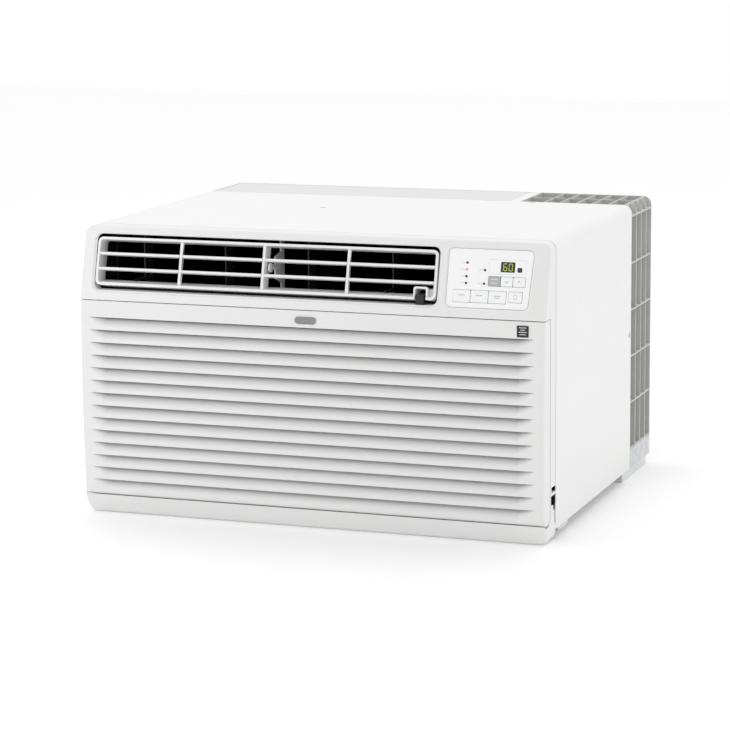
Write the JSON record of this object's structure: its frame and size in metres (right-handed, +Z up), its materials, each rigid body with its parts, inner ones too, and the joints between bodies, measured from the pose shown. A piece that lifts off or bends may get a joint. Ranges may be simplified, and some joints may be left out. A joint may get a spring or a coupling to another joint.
{
  "type": "window air conditioner",
  "caption": "Through-the-wall room air conditioner: bowed front with louvred inlet grille, leaning outlet and control panel, steel cabinet, open rear cage, full works inside.",
  "frame": {"origin": "on the floor, under the middle of the whole case", "axes": "+X to the right of someone facing the front, +Y from the front to the back, +Z up"},
  "size_m": [0.61, 0.51, 0.367],
  "materials": {
    "casing_plastic": "fine satin moulding",
    "cabinet_paint": "smooth semi-gloss powder coat",
    "panel_gloss": "polished",
    "key_white": "satin",
    "key_grey": "satin",
    "dark_window": "clear dark tint",
    "lamp_lens": "frosted lens",
    "black_plastic": "satin",
    "cage_plastic": "satin moulding",
    "plate_plastic": "satin",
    "galvanised": "bright zinc coat",
    "insulation": "dull foam",
    "fins": "thin bare fins",
    "copper": "drawn copper tube",
    "compressor_paint": "black enamel",
    "motor_steel": "drawn steel can",
    "rubber": "moulded",
    "board": "lacquered board",
    "filter_net": "fine woven net",
    "filter_plastic": "satin",
    "badge_grey": "metallic lacquer",
    "sticker": "printed film",
    "zinc": "zinc plate",
    "capacitor_can": "bare can",
    "fan_plastic": "moulded"
  },
  "bodies": {
    "chassis": {"front_frame": "casing_plastic", "outlet_duct": "black_plastic", "centre_post": "casing_plastic", "control_panel": "panel_gloss", "display_window": "dark_window", "remote_eye": "dark_window", "indicator_lamps": "lamp_lens", "control_board": "board", "cabinet": "cabinet_paint", "base_pan": "galvanised", "drain_plug": "rubber", "rear_rail": "galvanised", "rear_cage": "cage_plastic", "rear_top_plate": "plate_plastic", "top_brace": "cabinet_paint", "top_screw_1": "zinc", "top_screw_2": "zinc", "side_screw_left": "zinc", "side_screw_right": "zinc", "evaporator_coil": "fins", "drip_tray": "black_plastic", "blower_housing": "insulation", "bulkhead": "galvanised", "fan_motor": "motor_steel", "motor_bracket": "galvanised", "fan_shroud": "galvanised", "condenser_coil": "fins", "compressor": "compressor_paint", "compressor_mount": "rubber", "accumulator": "compressor_paint", "suction_line": "copper", "discharge_line": "copper", "capillary_tube": "copper", "control_box": "galvanised", "run_capacitor": "capacitor_can", "cord_clamp": "black_plastic"},
    "grille": {"inlet_grille": "casing_plastic", "filter_frame": "filter_plastic", "filter_mesh": "filter_net", "badge_plate": "badge_grey", "efficiency_sticker": "sticker"},
    "louvre": {"louvre_frame": "casing_plastic"},
    "vane_a": {"vane_1": "black_plastic"},
    "vane_b": {"vane_2": "black_plastic"},
    "vane_c": {"vane_3": "black_plastic"},
    "vane_d": {"vane_4": "black_plastic"},
    "link_left": {"vane_link_left": "black_plastic"},
    "link_right": {"vane_link_right": "black_plastic"},
    "vent": {"vent_lever": "black_plastic"},
    "flap": {"vent_flap": "black_plastic"},
    "fan": {"fan_shaft": "zinc", "blower_wheel": "black_plastic", "condenser_fan": "fan_plastic"},
    "key_energy_saver": {"button_energy_saver": "key_grey"},
    "key_temp_down": {"button_temp_down": "key_white"},
    "key_temp_up": {"button_temp_up": "key_white"},
    "key_mode": {"button_mode": "key_white"},
    "key_timer": {"button_timer": "key_white"},
    "key_fan_speed": {"button_fan_speed": "key_white"},
    "key_power": {"button_power": "key_white"}
  },
  "joints": [
    {"name": "grille_hinge", "type": "hinge", "parent": "chassis", "child": "grille", "pos_m": [0, -0.243, 0.032], "axis": [1, 0, 0], "range_deg": [0, 60]},
    {"name": "louvre_tilt", "type": "hinge", "parent": "chassis", "child": "louvre", "pos_m": [0, -0.2275, 0.3225], "axis": [1, 0, 0], "range_deg": [-15, 15]},
    {"name": "vane_a_turn", "type": "hinge", "parent": "chassis", "child": "vane_a", "pos_m": [-0.23821, -0.183, 0.322], "axis": [0, 0, 1], "range_deg": [-35, 35]},
    {"name": "vane_b_turn", "type": "hinge", "parent": "chassis", "child": "vane_b", "pos_m": [-0.12698, -0.183, 0.322], "axis": [0, 0, 1], "range_deg": [-35, 35]},
    {"name": "link_left_turn", "type": "hinge", "parent": "vane_a", "child": "link_left", "pos_m": [-0.23821, -0.175, 0.289], "axis": [0, 0, 1], "range_deg": [-35, 35]},
    {"name": "vane_d_turn", "type": "hinge", "parent": "chassis", "child": "vane_d", "pos_m": [0.09546, -0.183, 0.322], "axis": [0, 0, 1], "range_deg": [-35, 35]},
    {"name": "vane_c_turn", "type": "hinge", "parent": "chassis", "child": "vane_c", "pos_m": [-0.01576, -0.183, 0.322], "axis": [0, 0, 1], "range_deg": [-35, 35]},
    {"name": "link_right_turn", "type": "hinge", "parent": "vane_d", "child": "link_right", "pos_m": [0.09546, -0.175, 0.289], "axis": [0, 0, 1], "range_deg": [-35, 35]},
    {"name": "vent_pull", "type": "slide", "parent": "chassis", "child": "vent", "axis": [0, -1, 0], "range_m": [0, 0.018]},
    {"name": "flap_swing", "type": "hinge", "parent": "chassis", "child": "flap", "pos_m": [0.141, -0.0793, 0.351], "axis": [1, 0, 0], "range_deg": [0, 40]},
    {"name": "fan_spin", "type": "hinge", "parent": "chassis", "child": "fan", "pos_m": [-0.06025, 0, 0.165], "axis": [0, 1, 0], "continuous": true},
    {"name": "energy_saver_press", "type": "slide", "parent": "chassis", "child": "key_energy_saver", "axis": [0, 0.9673, -0.2538], "range_m": [0, 0.0008], "stiffness_N_per_m": 800},
    {"name": "temp_down_press", "type": "slide", "parent": "chassis", "child": "key_temp_down", "axis": [0, 0.9673, -0.2538], "range_m": [0, 0.0008], "stiffness_N_per_m": 800},
    {"name": "temp_up_press", "type": "slide", "parent": "chassis", "child": "key_temp_up", "axis": [0, 0.9673, -0.2538], "range_m": [0, 0.0008], "stiffness_N_per_m": 800},
    {"name": "mode_press", "type": "slide", "parent": "chassis", "child": "key_mode", "axis": [0, 0.9673, -0.2538], "range_m": [0, 0.0008], "stiffness_N_per_m": 800},
    {"name": "timer_press", "type": "slide", "parent": "chassis", "child": "key_timer", "axis": [0, 0.9673, -0.2538], "range_m": [0, 0.0008], "stiffness_N_per_m": 800},
    {"name": "fan_speed_press", "type": "slide", "parent": "chassis", "child": "key_fan_speed", "axis": [0, 0.9673, -0.2538], "range_m": [0, 0.0008], "stiffness_N_per_m": 800},
    {"name": "power_press", "type": "slide", "parent": "chassis", "child": "key_power", "axis": [0, 0.9673, -0.2538], "range_m": [0, 0.0008], "stiffness_N_per_m": 800}
  ],
  "couplings": [
    {"joint": "vane_b_turn", "follows": "vane_a_turn", "ratio": 1},
    {"joint": "link_left_turn", "follows": "vane_a_turn", "ratio": -1},
    {"joint": "vane_c_turn", "follows": "vane_d_turn", "ratio": 1},
    {"joint": "link_right_turn", "follows": "vane_d_turn", "ratio": -1},
    {"joint": "flap_swing", "follows": "vent_pull", "rad_per_m": 38.78}
  ]
}
